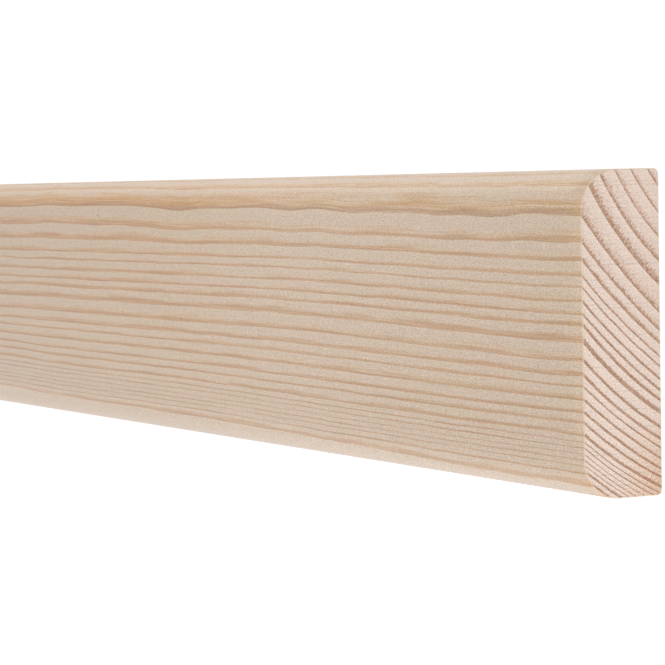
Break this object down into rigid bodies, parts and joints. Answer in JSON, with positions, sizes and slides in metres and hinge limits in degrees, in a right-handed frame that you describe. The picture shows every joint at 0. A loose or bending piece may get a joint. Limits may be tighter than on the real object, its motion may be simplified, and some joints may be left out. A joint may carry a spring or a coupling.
{
  "type": "wall handrail",
  "caption": "Straight planed pine handrail for fixing to a wall: flat back, two rounded hand edges on the front, and square-cut ends.",
  "frame": {"origin": "middle of the flat back, halfway along the rail and halfway across its face", "axes": "+X along the rail, +Y across its face (up, once it is fixed to a wall), +Z from the flat back out through the rounded front face"},
  "size_m": [2.4, 0.095, 0.027],
  "materials": {
    "planed_pine": "planed and lightly sanded softwood, left bare"
  },
  "bodies": {
    "root": {"handrail": "planed_pine"}
  },
  "joints": []
}
